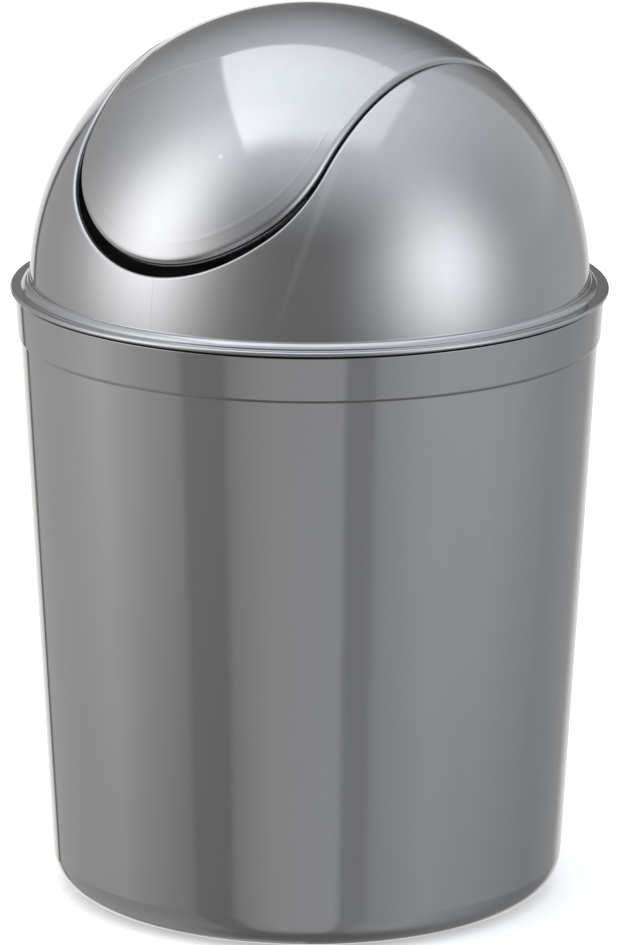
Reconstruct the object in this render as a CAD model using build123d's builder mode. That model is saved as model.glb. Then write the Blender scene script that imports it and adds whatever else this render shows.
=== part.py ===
from build123d import *
import math
import os

# Countertop trash can with a swing lid: three plastic mouldings.
#   bucket      tapered can with a rim flange, a plain band and a small shoulder
#   dome_lid    hemispherical hood with a skirt, a bead and a through opening
#   swing_flap  curved flap on two moulded trunnions
# Millimetres. The origin is on the floor under the axis, +Z is up, the front scoop of
# the lid faces -Y and the flap turns about a line parallel to X.

# ---- Bucket --------------------------------------------------------------------------
BUCKET_HEIGHT = 140.0       # floor to the flat top of the rim flange
BASE_RADIUS = 57.7          # outside of the tapered wall, carried down to the floor
SHOULDER_RADIUS = 65.1      # outside of the tapered wall where the shoulder starts
SHOULDER_DROP = 11.9        # rim top down to the underside of the shoulder
SHOULDER_STEP = 0.65        # how far the band stands out past the tapered wall
SHOULDER_RISE = 0.7         # height over which the wall steps out
SHOULDER_ROUNDING = 0.6     # where the step turns into the band
BAND_DRAFT = 0.15           # how much wider the band is at its top than at its foot
FLANGE_OVERHANG = 1.6       # rim flange past the band
FLANGE_THICKNESS = 1.0      # rim flange, top to underside
FLANGE_ROUNDING = 0.4       # rounded outer edge of the flange
UNDERCUT_HEIGHT = 1.2       # groove in the band, right under the flange
UNDERCUT_DEPTH = 0.6        # how far that groove goes into the wall
MOUTH_ROUNDING = 0.3        # inner edge of the flange
BUCKET_WALL = 1.4           # side wall
BUCKET_FLOOR = 1.8          # floor plate
BASE_ROUNDING = 8.0         # outside radius between the wall and the floor
FOOT_RING_WIDTH = 5.7       # ring that the bucket stands on, inside the base rounding
BASE_RECESS = 1.0           # how far the middle of the floor is raised off the ground

# ---- Lid -----------------------------------------------------------------------------
LID_CLEARANCE = 0.35        # skirt to the inside of the band, all round
SKIRT_DEPTH = 9.0           # how far the skirt reaches down into the bucket
SKIRT_WALL = 1.2            # skirt thickness
BEAD_OVERLAP = 0.55         # how far the bead rests on the rim flange
BEAD_HEIGHT = 1.55          # top of the bead's slope, above the rim
BEAD_LIP = 0.5              # upright foot of the bead, below its slope
BEAD_WIDTH = 1.5            # bead, radially
BEAD_ROUNDING = 0.7         # where the foot of the bead turns into its slope
BEAD_TOP_ROUNDING = 0.2     # inner top edge of the bead
GROOVE_HEIGHT = 0.9         # floor of the groove between the bead and the dome, above the rim
DOME_INSET = 1.05           # outside of the dome, in from the outside of the skirt
DOME_LIFT = 0.65            # centre of the dome above the rim
DOME_WALL = 1.3             # dome thickness

# ---- Opening of the lid, seen from the front ------------------------------------------
SCOOP_HEIGHT = 13.0         # lowest point of the opening's edge above the rim
SCOOP_RADIUS = 38.2         # curve at the bottom of the opening
SCOOP_HALF_ANGLE = 42.0     # how far that curve goes each way before the corner
CORNER_RADIUS = 20.0        # curve from the bottom into the sides
SIDE_DRAFT = 4.3            # degrees that each side leans out from the vertical
EDGE_ROUNDING = 0.6         # rounded outer edge of the opening

# ---- Flap ----------------------------------------------------------------------------
FLAP_SIDE_GAP = 1.2         # between the straight sides of the opening and the flap
FLAP_FOOT_GAP = 2.2         # between the bottom of the opening and the flap, front and back
FLAP_LIFT = 0.5             # centre line of the flap's curve above the centre of the dome
FLAP_INSET = 0.8            # outside of the flap at its middle, in from the dome's radius
FLAP_FLATTENING = 0.9       # how much longer the flap's oval is across the flap than front to back
FLAP_WALL = 1.3             # flap thickness
FLAP_EDGE_DEPTH = 4.8       # turned-down edge, outer face to its lower end
FLAP_EDGE_ROUNDING = 1.8    # rounding of the flap's outer edge

# ---- Hinge ---------------------------------------------------------------------------
PIVOT_DROP = 6.1            # hinge axis below the top edge of the humps
PIN_DIAMETER = 4.0          # trunnions on the flap
PIN_CLEARANCE = 0.08        # trunnion to its hole, radially
PIN_REACH = 0.6             # trunnion past the far face of the cheek
PIN_CHAMFER = 0.5           # lead-in at the trunnion's tip
CHEEK_THICKNESS = 1.5       # hinge cheeks under the humps of the lid
CHEEK_MARGIN = 2.6          # plastic around the pivot hole
CHEEK_HALF_WIDTH = 8.0      # cheek where it joins the dome, each side of the pivot
LUG_THICKNESS = 1.8         # hinge lugs under the sides of the flap
LUG_MARGIN = 2.2            # plastic around the trunnion's root
LUG_HALF_WIDTH = 7.5        # lug where it joins the flap, each side of the pivot
BOSS_DIAMETER = 7.0         # shoulder of the trunnion, between the lug and the cheek
SIDE_PLAY = 0.3             # boss to cheek, along the axis

# ---- Heights and radii that follow ----------------------------------------------------
RIM_Z = BUCKET_HEIGHT
FLOOR_TOP_Z = BASE_RECESS + BUCKET_FLOOR
FOOT_RING_RADIUS = BASE_RADIUS - BASE_ROUNDING - FOOT_RING_WIDTH
SHOULDER_Z = RIM_Z - SHOULDER_DROP
FLANGE_UNDERSIDE_Z = RIM_Z - FLANGE_THICKNESS
UNDERCUT_Z = FLANGE_UNDERSIDE_Z - UNDERCUT_HEIGHT
BAND_FOOT_RADIUS = SHOULDER_RADIUS + SHOULDER_STEP
BAND_TOP_RADIUS = BAND_FOOT_RADIUS + BAND_DRAFT
FLANGE_RADIUS = BAND_TOP_RADIUS + FLANGE_OVERHANG
MOUTH_RADIUS = BAND_TOP_RADIUS - BUCKET_WALL
SKIRT_RADIUS = MOUTH_RADIUS - LID_CLEARANCE
BEAD_RADIUS = MOUTH_RADIUS + BEAD_OVERLAP
DOME_Z = RIM_Z + DOME_LIFT
DOME_RADIUS = SKIRT_RADIUS - DOME_INSET
DOME_INNER_RADIUS = DOME_RADIUS - DOME_WALL
DOME_TOP_Z = DOME_Z + DOME_RADIUS
FLAP_Z = DOME_Z + FLAP_LIFT
FLAP_MID_RADIUS = DOME_RADIUS - FLAP_INSET
FLAP_CROSS_RADIUS = FLAP_MID_RADIUS + FLAP_FLATTENING
FLAP_TOP_Z = FLAP_Z + FLAP_MID_RADIUS
CUT_REACH = 2 * FLANGE_RADIUS  # cutting tools run past the lid by at least a radius


def sphere_radius_at(radius, height):
    """Radius of a level slice through a sphere, `height` above its centre."""
    return math.sqrt(radius**2 - height**2)


# ---- bucket --------------------------------------------------------------------------
with BuildPart() as bucket:
    with BuildSketch(Plane.XZ) as bucket_section:
        with BuildLine():
            Polyline(
                (0, BASE_RECESS),
                (FOOT_RING_RADIUS, BASE_RECESS),
                (FOOT_RING_RADIUS + BASE_RECESS, 0),
                (BASE_RADIUS, 0),
                (SHOULDER_RADIUS, SHOULDER_Z),
                (BAND_FOOT_RADIUS, SHOULDER_Z + SHOULDER_RISE),
                (BAND_TOP_RADIUS, UNDERCUT_Z),
                (BAND_TOP_RADIUS - UNDERCUT_DEPTH, UNDERCUT_Z),
                (BAND_TOP_RADIUS - UNDERCUT_DEPTH, FLANGE_UNDERSIDE_Z),
                (FLANGE_RADIUS, FLANGE_UNDERSIDE_Z),
                (FLANGE_RADIUS, RIM_Z),
                (MOUTH_RADIUS, RIM_Z),
                (BAND_FOOT_RADIUS - BUCKET_WALL, SHOULDER_Z + SHOULDER_RISE),
                (SHOULDER_RADIUS - BUCKET_WALL, SHOULDER_Z),
                (BASE_RADIUS - BUCKET_WALL, FLOOR_TOP_Z),
                (0, FLOOR_TOP_Z),
                close=True,
            )
        make_face()
        roundings = (
            (BASE_RADIUS, 0, BASE_ROUNDING),
            (BASE_RADIUS - BUCKET_WALL, FLOOR_TOP_Z, BASE_ROUNDING - BUCKET_WALL),
            (BAND_FOOT_RADIUS, SHOULDER_Z + SHOULDER_RISE, SHOULDER_ROUNDING),
            (FLANGE_RADIUS, FLANGE_UNDERSIDE_Z, FLANGE_ROUNDING),
            (FLANGE_RADIUS, RIM_Z, FLANGE_ROUNDING),
            (MOUTH_RADIUS, RIM_Z, MOUTH_ROUNDING),
        )
        for radius, height, rounding in roundings:
            fillet(bucket_section.vertices().sort_by_distance((radius, height))[0], rounding)
    revolve(axis=Axis.Z)
bucket.part.label = "bucket"

# ---- the U of the opening, shared by the lid and the flap ------------------------------
SCOOP_CENTRE_Z = RIM_Z + SCOOP_HEIGHT + SCOOP_RADIUS
CORNER_SWEEP = 90.0 - SCOOP_HALF_ANGLE - SIDE_DRAFT
OPENING_TOP_Z = DOME_Z + CUT_REACH

with BuildSketch(Plane.XZ) as opening:
    with BuildLine():
        bottom = CenterArc((0, SCOOP_CENTRE_Z), SCOOP_RADIUS, -90, SCOOP_HALF_ANGLE)
        corner = JernArc(bottom @ 1, bottom % 1, CORNER_RADIUS, CORNER_SWEEP)
        side_rise = OPENING_TOP_Z - (corner @ 1).Y
        side = Line(
            corner @ 1,
            (corner @ 1) + Vector(side_rise * math.tan(math.radians(SIDE_DRAFT)), side_rise),
        )
        Line(side @ 1, (0, OPENING_TOP_Z))
        mirror(about=Plane.YZ)
    make_face()

CORNER_END = corner @ 1


def opening_half_width(z):
    """Half the width of the opening at a height on its straight, leaning sides."""
    return CORNER_END.X + (z - CORNER_END.Y) * math.tan(math.radians(SIDE_DRAFT))


CHEEK_X = opening_half_width(DOME_Z + sphere_radius_at(DOME_RADIUS, CORNER_END.X))
HUMP_TOP_Z = DOME_Z + sphere_radius_at(DOME_RADIUS, CHEEK_X)
PIVOT_Z = HUMP_TOP_Z - PIVOT_DROP
LUG_X = opening_half_width(PIVOT_Z) - FLAP_SIDE_GAP  # outer face of a lug
PIN_RADIUS = PIN_DIAMETER / 2
HOLE_RADIUS = PIN_RADIUS + PIN_CLEARANCE

# ---- hinge cheeks, moulded under the humps of the lid ----------------------------------
with BuildPart() as hinge_cheeks:
    with BuildSketch(Plane.YZ.offset(CHEEK_X)):
        with Locations((0, PIVOT_Z)):
            Circle(HOLE_RADIUS + CHEEK_MARGIN)
        with Locations((-CHEEK_HALF_WIDTH, DOME_TOP_Z), (CHEEK_HALF_WIDTH, DOME_TOP_Z)):
            Circle(CHEEK_MARGIN)
        make_hull()
    extrude(amount=CHEEK_THICKNESS)
    with BuildSketch(Plane.YZ):
        with Locations((0, PIVOT_Z)):
            Circle(HOLE_RADIUS)
    extrude(amount=CUT_REACH, mode=Mode.SUBTRACT)
    mirror(about=Plane.YZ)
    with Locations((0, 0, DOME_Z)):
        Sphere(DOME_RADIUS - DOME_WALL / 2, mode=Mode.INTERSECT)

# ---- dome_lid ------------------------------------------------------------------------
with BuildPart() as dome_lid:
    with BuildSketch(Plane.XZ) as lid_section:
        groove_z = RIM_Z + GROOVE_HEIGHT
        dome_foot = (sphere_radius_at(DOME_RADIUS, groove_z - DOME_Z), groove_z)
        skirt_foot_z = RIM_Z - SKIRT_DEPTH
        inner_top_radius = SKIRT_RADIUS - SKIRT_WALL
        with BuildLine():
            Polyline(
                dome_foot,
                (BEAD_RADIUS - BEAD_WIDTH, groove_z),
                (BEAD_RADIUS - BEAD_WIDTH, RIM_Z + BEAD_HEIGHT),
                (BEAD_RADIUS, RIM_Z + BEAD_LIP),
                (BEAD_RADIUS, RIM_Z),
                (SKIRT_RADIUS, RIM_Z),
                (SKIRT_RADIUS - BAND_DRAFT, skirt_foot_z),
                (inner_top_radius - BAND_DRAFT, skirt_foot_z),
                (inner_top_radius, RIM_Z - SKIRT_WALL),
                (DOME_INNER_RADIUS, DOME_Z),
            )
            CenterArc((0, DOME_Z), DOME_INNER_RADIUS, 0, 90)
            Line((0, DOME_Z + DOME_INNER_RADIUS), (0, DOME_TOP_Z))
            RadiusArc((0, DOME_TOP_Z), dome_foot, DOME_RADIUS)
        make_face()
        bead_roundings = (
            (BEAD_RADIUS, RIM_Z + BEAD_LIP, BEAD_ROUNDING),
            (BEAD_RADIUS - BEAD_WIDTH, RIM_Z + BEAD_HEIGHT, BEAD_TOP_ROUNDING),
        )
        for radius, height, rounding in bead_roundings:
            fillet(lid_section.vertices().sort_by_distance((radius, height))[0], rounding)
    revolve(axis=Axis.Z)
    extrude(opening.sketch, amount=CUT_REACH, both=True, mode=Mode.SUBTRACT)
    near_outside = DOME_RADIUS - DOME_WALL / 4
    outer_edges = dome_lid.edges(Select.LAST).filter_by(
        lambda edge: (edge @ 0.5 - Vector(0, 0, DOME_Z)).length > near_outside
    )
    fillet(outer_edges, EDGE_ROUNDING)
    add(hinge_cheeks.part)
dome_lid.part.label = "dome_lid"

# ---- swing_flap ----------------------------------------------------------------------
FLAP_AXIS = Axis((0, 0, FLAP_Z), (1, 0, 0))


def flap_barrel(depth):
    """The barrel that the flap's outer face belongs to, shrunk by `depth` all round."""
    with BuildPart() as barrel:
        with BuildSketch(Plane.XZ):
            with Locations((0, FLAP_Z)):
                Ellipse(FLAP_CROSS_RADIUS - depth, FLAP_MID_RADIUS - depth)
                Rectangle(
                    2 * FLAP_CROSS_RADIUS,
                    FLAP_MID_RADIUS,
                    align=(Align.CENTER, Align.MAX),
                    mode=Mode.SUBTRACT,
                )
        revolve(axis=FLAP_AXIS)
    return barrel.part


with BuildSketch(Plane.XZ) as flap_outline:
    with Locations((0, FLAP_FOOT_GAP - FLAP_SIDE_GAP)):
        add(opening.sketch_local)
    offset(amount=-FLAP_SIDE_GAP)

with BuildSketch(Plane.XZ) as flap_inner_outline:
    add(flap_outline.sketch_local)
    offset(amount=-FLAP_WALL)

with BuildPart() as flap_hollow:
    add(flap_barrel(FLAP_WALL))
    extrude(flap_inner_outline.sketch, amount=CUT_REACH, both=True, mode=Mode.INTERSECT)
    add(flap_barrel(FLAP_EDGE_DEPTH))

with BuildPart() as hinge_lugs:
    with BuildSketch(Plane.YZ.offset(LUG_X - LUG_THICKNESS)):
        with Locations((0, PIVOT_Z)):
            Circle(PIN_RADIUS + LUG_MARGIN)
        with Locations((-LUG_HALF_WIDTH, FLAP_TOP_Z), (LUG_HALF_WIDTH, FLAP_TOP_Z)):
            Circle(LUG_MARGIN)
        make_hull()
    extrude(amount=LUG_THICKNESS)
    add(flap_barrel(FLAP_WALL / 2), mode=Mode.INTERSECT)
    with BuildSketch(Plane.YZ.offset(LUG_X)):
        with Locations((0, PIVOT_Z)):
            Circle(BOSS_DIAMETER / 2)
    extrude(amount=CHEEK_X - SIDE_PLAY - LUG_X)
    with BuildSketch(Plane.YZ.offset(LUG_X)):
        with Locations((0, PIVOT_Z)):
            Circle(PIN_RADIUS)
    extrude(amount=CHEEK_X + CHEEK_THICKNESS + PIN_REACH - LUG_X)
    chamfer(hinge_lugs.faces().sort_by(Axis.X)[-1].edges(), PIN_CHAMFER)
    mirror(about=Plane.YZ)

with BuildPart() as swing_flap:
    add(flap_barrel(0))
    extrude(flap_outline.sketch, amount=CUT_REACH, both=True, mode=Mode.INTERSECT)
    outer_face = swing_flap.faces().sort_by(SortBy.AREA)[-1]
    fillet(outer_face.edges(), FLAP_EDGE_ROUNDING)
    add(flap_hollow.part, mode=Mode.SUBTRACT)
    add(hinge_lugs.part)
swing_flap.part.label = "swing_flap"

os.makedirs("parts", exist_ok=True)
for piece in (bucket, dome_lid, swing_flap):
    export_step(piece.part, f"parts/{piece.part.label}.step")
    print(piece.part.label, "volume", round(piece.part.volume), "mm3")
print("hinge axis at a height of", round(PIVOT_Z, 3), "mm")
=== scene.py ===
# %% [markdown]
# # A countertop trash can with a swing lid
# The can is three plastic mouldings: a tapered bucket, a dome that plugs into its mouth, and
# a curved flap that turns on two pins under the dome's side humps. The construction is a fixed
# frame that is loaded first. Every piece here is a smooth, closely meshed skin over one part
# of that frame, because glossy plastic shows each flat facet in its reflections.

# %% Load the frame
import math

import bmesh
import bpy
import numpy as np
from mathutils import Matrix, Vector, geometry


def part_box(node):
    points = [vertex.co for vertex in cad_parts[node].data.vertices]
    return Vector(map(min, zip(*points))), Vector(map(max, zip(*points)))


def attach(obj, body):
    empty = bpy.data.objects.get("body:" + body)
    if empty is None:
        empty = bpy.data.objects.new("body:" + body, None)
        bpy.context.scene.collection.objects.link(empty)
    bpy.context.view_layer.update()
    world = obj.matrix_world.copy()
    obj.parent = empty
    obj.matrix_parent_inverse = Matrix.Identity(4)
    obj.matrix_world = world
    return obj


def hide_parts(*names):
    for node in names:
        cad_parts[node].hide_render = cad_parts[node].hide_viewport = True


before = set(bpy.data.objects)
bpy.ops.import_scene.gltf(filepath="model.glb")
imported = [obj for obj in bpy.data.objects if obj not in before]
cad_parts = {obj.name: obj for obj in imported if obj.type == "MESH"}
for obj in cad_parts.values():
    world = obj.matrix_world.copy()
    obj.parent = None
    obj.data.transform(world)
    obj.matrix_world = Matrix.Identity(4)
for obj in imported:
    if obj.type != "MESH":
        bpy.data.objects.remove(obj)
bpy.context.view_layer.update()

# %% [markdown]
# ## Sizes
# A mould maker gives sizes in millimetres, so the script does too, and turns them into
# Blender's metres where a mesh is written. The rim's height comes from the frame. The other
# sizes are those of this can, and stand in front of the piece that needs them.

# %% Rim and mouth
MM = 0.001

RIM_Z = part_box("bucket")[1].z / MM
BAND_TOP_RADIUS = 65.9
BUCKET_WALL = 1.4
MOUTH_RADIUS = BAND_TOP_RADIUS - BUCKET_WALL
print("rim height", round(RIM_Z, 2), "mm")

# %% [markdown]
# ## Turned sections
# The bucket and the pins are bodies of revolution: one outline, swept round an axis. It is
# written as corners with a rounding each, as on a drawing. `rounded_outline` turns each
# rounding into an arc, and adds a point close to both ends of every straight run, so that
# smooth shading stays flat there and bends only in the roundings.

# %% Outline with rounded corners
ARC_STEPS = 6
SUPPORT = 0.12           # from the end of a straight run to its extra point
LONGEST_RUN = 12.0       # longer runs are divided


def straight_run(start, end):
    """Points inside a straight run: one near each end, and even steps between them."""
    length = np.linalg.norm(end - start)
    if length < 3 * SUPPORT:
        return []
    inner = math.ceil((length - 2 * SUPPORT) / LONGEST_RUN)
    stations = [SUPPORT + (length - 2 * SUPPORT) * k / inner for k in range(inner + 1)]
    return [start + (end - start) * station / length for station in stations]


def swing(start, end, turn, t):
    """The direction a share `t` of the way from one to another, `turn` radians apart."""
    return (np.sin((1 - t) * turn) * start + np.sin(t * turn) * end) / np.sin(turn)


def corner_arc(before, here, after, rounding):
    """Points of the arc that rounds the corner `here`."""
    back = (before - here) / np.linalg.norm(before - here)
    onward = (after - here) / np.linalg.norm(after - here)
    half_angle = math.acos(np.clip(back @ onward, -1, 1)) / 2
    middle = (back + onward) / np.linalg.norm(back + onward)
    centre = here + middle * rounding / math.sin(half_angle)
    start = here + back * rounding / math.tan(half_angle) - centre
    end = here + onward * rounding / math.tan(half_angle) - centre
    turn = math.pi - 2 * half_angle
    return [centre + swing(start, end, turn, k / ARC_STEPS) for k in range(ARC_STEPS + 1)]


def rounded_outline(corners):
    """Points of an open outline given as (radius, height, rounding) corners."""
    places = [np.array(corner[:2], float) for corner in corners]
    runs = [[place] for place in places]
    for i in range(1, len(corners) - 1):
        if corners[i][2]:
            runs[i] = corner_arc(places[i - 1], places[i], places[i + 1], corners[i][2])
    points = []
    for run, following in zip(runs, runs[1:]):
        points.extend(run)
        points.extend(straight_run(run[-1], following[0]))
    return np.array(points + runs[-1])


# %% [markdown]
# ## Geometry Nodes: turning an outline
# A turned shape could be made with the Spin tool or the Screw modifier. Here it is a node
# tree, so that the number of steps stays a named input. A grid gets one row for each point
# of the outline and one column for each step. Every grid vertex looks up its outline point by
# index, and moves to that radius and height at its own angle round the axis.

# %% Node helpers
def feed(tree, target, value):
    """Connects an output, or a node's first output, to a socket, or sets its own value."""
    if isinstance(value, bpy.types.Node):
        value = value.outputs[0]
    if isinstance(value, bpy.types.NodeSocket):
        tree.links.new(value, target)
    else:
        target.default_value = value


def node(tree, kind, inputs=(), **settings):
    """A new node, with its properties set by name and its inputs by name or number."""
    new = tree.nodes.new(kind)
    for name, value in settings.items():
        setattr(new, name, value)
    for socket, value in dict(inputs).items():
        feed(tree, new.inputs[socket], value)
    return new


def empty_tree(owner):
    """The node tree of a material or a world, with nothing in it yet."""
    owner.use_nodes = True
    owner.node_tree.nodes.clear()
    return owner.node_tree


def tree_of(*values):
    """The tree that holds the first node or output among the values."""
    return next(value.id_data for value in values if hasattr(value, "id_data"))


def math_node(operation, a, b=0.0):
    """One Math node."""
    return node(tree_of(a, b), "ShaderNodeMath", {0: a, 1: b}, operation=operation)


def total(*values):
    """Several values added together."""
    result = values[0]
    for value in values[1:]:
        result = math_node("ADD", result, value)
    return result


def product(*factors):
    """Several values multiplied together."""
    result = factors[0]
    for factor in factors[1:]:
        result = math_node("MULTIPLY", result, factor)
    return result


def minus(a, b):
    """One value less another."""
    return math_node("SUBTRACT", a, b)


def xyz(vector):
    """The parts of a vector, as outputs named X, Y and Z."""
    return node(tree_of(vector), "ShaderNodeSeparateXYZ", {0: vector}).outputs


# %% Geometry helpers
def geometry_tree(name, **inputs):
    """A Geometry Nodes tree with a geometry going in and out, and named inputs."""
    tree = bpy.data.node_groups.new(name, "GeometryNodeTree")
    for label, kind in {"Geometry": "Geometry", **inputs, "Finish": "Material"}.items():
        tree.interface.new_socket(label, in_out="INPUT", socket_type="NodeSocket" + kind)
    tree.interface.new_socket("Geometry", in_out="OUTPUT", socket_type="NodeSocketGeometry")
    return tree, node(tree, "NodeGroupInput").outputs


def end_tree(tree, given, shape):
    """Makes the shape's copies real, gives it its finish and sends it to the output."""
    realized = node(tree, "GeometryNodeRealizeInstances", {0: shape})
    dressed = {"Geometry": realized, "Material": given["Finish"]}
    node(tree, "NodeGroupOutput", {0: node(tree, "GeometryNodeSetMaterial", dressed)})


def add_object(name, data):
    """An object in the scene that shows a mesh, or a camera."""
    new = bpy.data.objects.new(name, data)
    bpy.context.scene.collection.objects.link(new)
    return new


def run_tree(source, tree, values, name):
    """The plain mesh object that the tree makes from a source object."""
    modifier = source.modifiers.new("Nodes", "NODES")
    modifier.node_group = tree
    for item in tree.interface.items_tree:
        if item.in_out == "INPUT" and item.name in values:
            modifier[item.identifier] = values[item.name]
    bpy.context.view_layer.update()
    graph = bpy.context.evaluated_depsgraph_get()
    mesh = bpy.data.meshes.new_from_object(source.evaluated_get(graph))
    mesh.name = name
    bpy.data.objects.remove(source)
    return add_object(name, mesh)


# %% The turning tree
WELD_DISTANCE = 0.001 * MM


def turning_tree():
    """Turns an outline, held as points (radius, 0, height), round the Z axis."""
    tree, given = geometry_tree("turned_section", Steps="Int")
    section, steps = given["Geometry"], given["Steps"]
    count = node(tree, "GeometryNodeAttributeDomainSize", {0: section}, component="MESH")
    columns = total(steps, 1)
    size = {"Vertices X": count.outputs["Point Count"], "Vertices Y": columns}
    grid = node(tree, "GeometryNodeMeshGrid", size)

    index = node(tree, "GeometryNodeInputIndex")
    share = math_node("DIVIDE", total(index, 0.5), columns)
    row = math_node("FLOOR", share)
    column = minus(index, product(row, columns))
    angle = product(column, math_node("DIVIDE", math.tau, steps))

    position = node(tree, "GeometryNodeInputPosition")
    wanted = {"Geometry": section, "Value": position, "Index": row}
    found = node(tree, "GeometryNodeSampleIndex", wanted, data_type="FLOAT_VECTOR")
    place = xyz(found.outputs["Value"])
    turned = node(tree, "ShaderNodeCombineXYZ", {
        "X": product(place["X"], math_node("COSINE", angle)),
        "Y": product(place["X"], math_node("SINE", angle)),
        "Z": place["Z"],
    })

    shaped = node(tree, "GeometryNodeSetPosition", {"Geometry": grid, "Position": turned})
    close = {"Geometry": shaped, "Distance": WELD_DISTANCE}
    welded = node(tree, "GeometryNodeMergeByDistance", close)
    end_tree(tree, given, node(tree, "GeometryNodeSetShadeSmooth", {"Geometry": welded}))
    return tree


TURNING = turning_tree()
print("turning tree nodes", len(TURNING.nodes))


# %% Turned pieces
def face_outwards(mesh):
    """Points every face of a closed mesh outwards."""
    work = bmesh.new()
    work.from_mesh(mesh)
    bmesh.ops.recalc_face_normals(work, faces=work.faces)
    work.to_mesh(mesh)
    work.free()


def turned_piece(name, corners, steps, finish):
    """A body of revolution from the corners of its outline, in millimetres."""
    line = bpy.data.meshes.new(name + "_outline")
    line.from_pydata([(r * MM, 0, z * MM) for r, z in rounded_outline(corners)], [], [])
    source = add_object(name + "_outline", line)
    piece = run_tree(source, TURNING, {"Steps": steps, "Finish": finish}, name)
    face_outwards(piece.data)
    return piece


# %% [markdown]
# ## Bucket
# The real bucket is one moulding with a tapered wall, a small shoulder, a band that flares a
# little to its top, and a thin flange round the mouth with a groove under it. All of it is a
# turned shape, so its whole section, outside and inside, goes through the turning tree.

# %% Bucket sizes
FLANGE_RADIUS = BAND_TOP_RADIUS + 1.6
UNDERSIDE_Z = RIM_Z - 1.0              # of the flange
UNDERCUT_Z = UNDERSIDE_Z - 0.6
UNDERCUT_RADIUS = BAND_TOP_RADIUS - 0.6
BAND_FLARE = 0.5
BAND_DRAFT = 0.15
BAND_FOOT_RADIUS = BAND_TOP_RADIUS - BAND_DRAFT
SHOULDER_RADIUS = BAND_FOOT_RADIUS - 0.65
SHOULDER_Z = RIM_Z - 11.9
SHOULDER_TOP_Z = SHOULDER_Z + 0.7
BASE_RADIUS = 57.7
BASE_ROUNDING = 8.0
BASE_RECESS = 1.0
FOOT_RING_RADIUS = 44.0
FLOOR_TOP_Z = BASE_RECESS + 1.8
TURNED_STEPS = 480

# %% Bucket
silver = {
    part: bpy.data.materials.new("silver_plastic_" + part) for part in ("bucket", "lid", "flap")
}
bucket_corners = [       # (radius, height, rounding)
    (0, BASE_RECESS, 0),
    (FOOT_RING_RADIUS, BASE_RECESS, 0.3),
    (FOOT_RING_RADIUS + BASE_RECESS, 0, 0.3),
    (BASE_RADIUS, 0, BASE_ROUNDING),
    (SHOULDER_RADIUS, SHOULDER_Z, 0.1),
    (BAND_FOOT_RADIUS, SHOULDER_TOP_Z, 0.35),
    (BAND_TOP_RADIUS + BAND_FLARE, UNDERCUT_Z, 0.15),
    (UNDERCUT_RADIUS, UNDERCUT_Z, 0.15),
    (UNDERCUT_RADIUS, UNDERSIDE_Z, 0.15),
    (FLANGE_RADIUS, UNDERSIDE_Z, 0.4),
    (FLANGE_RADIUS, RIM_Z, 0.6),
    (MOUTH_RADIUS, RIM_Z, 0.3),
    (BAND_FOOT_RADIUS - BUCKET_WALL, SHOULDER_TOP_Z, 0.5),
    (SHOULDER_RADIUS - BUCKET_WALL, SHOULDER_Z, 0.5),
    (BASE_RADIUS - BUCKET_WALL, FLOOR_TOP_Z, BASE_ROUNDING - BUCKET_WALL),
    (0, FLOOR_TOP_Z, 0),
]
bucket_skin = turned_piece("bucket_skin", bucket_corners, TURNED_STEPS, silver["bucket"])
print("bucket faces", len(bucket_skin.data.polygons))

# %% [markdown]
# ## The opening
# Seen from the front, the lid's opening is a U: a wide curve at the bottom, a tighter curve
# at each corner and a straight side that leans out a little. The flap has the same U, a
# narrow gap inside it. `outline` gives a point of the U by its distance from the bottom, and
# can move it along its own normal.

# %% The U outline
SCOOP_Z = RIM_Z + 13.0
SCOOP_RADIUS = 38.2
SCOOP_ANGLE = math.radians(42.0)
SCOOP_CENTRE_Z = SCOOP_Z + SCOOP_RADIUS
BOTTOM_LENGTH = SCOOP_RADIUS * SCOOP_ANGLE
SIDE_DRAFT = math.radians(4.3)
SIDE_ANGLE = math.pi / 2 - SIDE_DRAFT
CORNER_RADIUS = 20.0
CORNER_LENGTH = CORNER_RADIUS * (SIDE_ANGLE - SCOOP_ANGLE)
CORNER_CENTRE = (
    (SCOOP_RADIUS - CORNER_RADIUS) * math.sin(SCOOP_ANGLE),
    SCOOP_CENTRE_Z - (SCOOP_RADIUS - CORNER_RADIUS) * math.cos(SCOOP_ANGLE),
)


def outline(s, offset, lift):
    """x, z and the outward normal's x, z of the U at distances s from its lowest point."""
    in_bottom = s < BOTTOM_LENGTH
    past_corner = np.maximum(s - BOTTOM_LENGTH - CORNER_LENGTH, 0)
    corner_angle = SCOOP_ANGLE + (s - BOTTOM_LENGTH) / CORNER_RADIUS
    angle = np.minimum(np.where(in_bottom, s / SCOOP_RADIUS, corner_angle), SIDE_ANGLE)
    radius = np.where(in_bottom, SCOOP_RADIUS, CORNER_RADIUS)
    normal_x, normal_z = np.sin(angle), -np.cos(angle)
    x = np.where(in_bottom, 0, CORNER_CENTRE[0]) + radius * normal_x + past_corner * np.cos(angle)
    z = np.where(in_bottom, SCOOP_CENTRE_Z, CORNER_CENTRE[1]) + radius * normal_z
    z = z + past_corner * np.sin(angle) + lift
    return x + offset * normal_x, z + offset * normal_z, normal_x, normal_z


# %% [markdown]
# ## Curved hoods
# The dome is a ball and the flap is a flatter barrel, and both are an oval turned about a
# line from side to side. So one description serves both: a mid radius, a half length and the
# height of that line. `rim_ring` finds where the U, moved by `offset`, crosses the hood,
# shrunk by `depth`. These two numbers place every edge, and the centre of every rounding,
# because a ball that rolls along an edge keeps both of them.

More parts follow.
